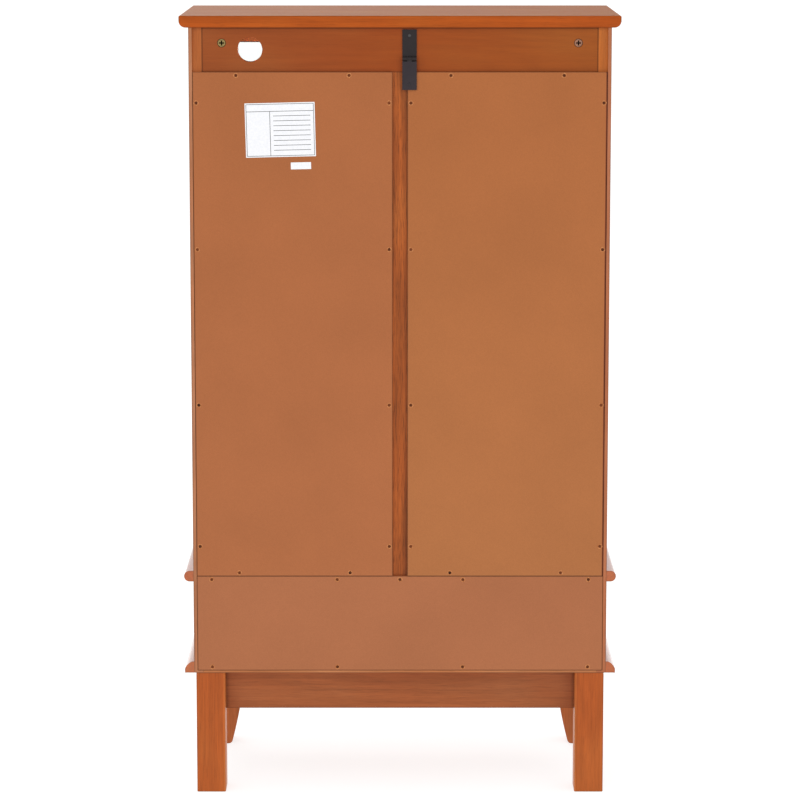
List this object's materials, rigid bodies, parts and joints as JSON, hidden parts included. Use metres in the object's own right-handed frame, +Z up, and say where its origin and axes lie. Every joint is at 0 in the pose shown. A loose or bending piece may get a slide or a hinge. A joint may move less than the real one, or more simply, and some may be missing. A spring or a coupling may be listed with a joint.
{
  "type": "lighted display cabinet",
  "caption": "Upright wooden display cabinet on legs: glass doors over a drawer, glass shelves, a puck light under the top, a hardboard back with a cord hole and a hinged tip bracket.",
  "frame": {"origin": "on the floor, in the middle of the footprint from the knob tips to the tip bracket", "axes": "+Z up, -Y out of the front with the doors, +X to the right as seen from the front"},
  "size_m": [0.674, 0.3714, 1.2175],
  "materials": {
    "case_wood": "satin cherry-brown lacquer",
    "frame_wood": "darker cherry-brown stain",
    "plain_wood": "unstained",
    "hardboard": "matte brown hardboard",
    "clear_glass": "clear",
    "dark_screw": "dark bronze",
    "zinc": "zinc plated",
    "brass": "antique brass",
    "black_metal": "black powder coat",
    "light_shell": "white",
    "light_diffuser": "frosted",
    "led_board": "white solder mask",
    "catch_plastic": "brown",
    "sticker_paper": "matte white"
  },
  "bodies": {
    "cabinet": {"top_board": "case_wood", "left_side_panel": "case_wood", "right_side_panel": "case_wood", "waist_board": "case_wood", "bottom_board": "case_wood", "left_rear_leg": "case_wood", "right_rear_leg": "case_wood", "left_front_leg": "case_wood", "right_front_leg": "case_wood", "front_apron": "case_wood", "side_aprons": "case_wood", "waist_moulding_front": "case_wood", "waist_moulding_sides": "case_wood", "base_moulding_front": "case_wood", "base_moulding_sides": "case_wood", "back_rail": "frame_wood", "back_stile": "frame_wood", "rear_apron": "frame_wood", "corner_braces": "plain_wood", "left_back_panel": "hardboard", "right_back_panel": "hardboard", "lower_back_panel": "hardboard", "glass_shelves": "clear_glass", "back_panel_screws": "dark_screw", "rail_cam_locks": "zinc", "rail_cam_dowels": "zinc", "drawer_runners": "zinc", "shelf_pins": "zinc", "hinge_cabinet_leaves": "brass", "hinge_pins": "brass", "tip_bracket_plate": "black_metal", "tip_bracket_screw": "black_metal", "light_housing": "light_shell", "light_lens": "light_diffuser", "light_led_board": "led_board", "door_catch": "catch_plastic", "blank_stickers": "sticker_paper"},
    "left_door": {"left_door_hinge_stile": "case_wood", "left_door_meeting_stile": "case_wood", "left_door_rails": "case_wood", "left_door_glass_beads": "case_wood", "left_door_knob": "case_wood", "left_door_glass": "clear_glass", "left_door_strike": "zinc", "left_door_hinge_leaves": "brass"},
    "right_door": {"right_door_hinge_stile": "case_wood", "right_door_meeting_stile": "case_wood", "right_door_rails": "case_wood", "right_door_glass_beads": "case_wood", "right_door_knob": "case_wood", "right_door_glass": "clear_glass", "right_door_strike": "zinc", "right_door_hinge_leaves": "brass"},
    "drawer": {"drawer_front": "case_wood", "drawer_sides": "plain_wood", "drawer_back": "plain_wood", "drawer_bottom": "plain_wood", "drawer_knobs": "case_wood", "drawer_slides": "zinc"},
    "tip_flap": {"tip_bracket_flap": "black_metal"}
  },
  "joints": [
    {"name": "left_door_swing", "type": "hinge", "parent": "cabinet", "child": "left_door", "pos_m": [-0.30145, -0.1625, 0.778], "axis": [0, 0, -1], "range_deg": [0, 110]},
    {"name": "right_door_swing", "type": "hinge", "parent": "cabinet", "child": "right_door", "pos_m": [0.30145, -0.1625, 0.778], "axis": [0, 0, 1], "range_deg": [0, 110]},
    {"name": "drawer_slide", "type": "slide", "parent": "cabinet", "child": "drawer", "axis": [0, -1, 0], "range_m": [0, 0.22]},
    {"name": "tip_flap_swing", "type": "hinge", "parent": "cabinet", "child": "tip_flap", "pos_m": [-0.0145, 0.1822, 1.152], "axis": [1, 0, 0], "range_deg": [0, 120]}
  ]
}
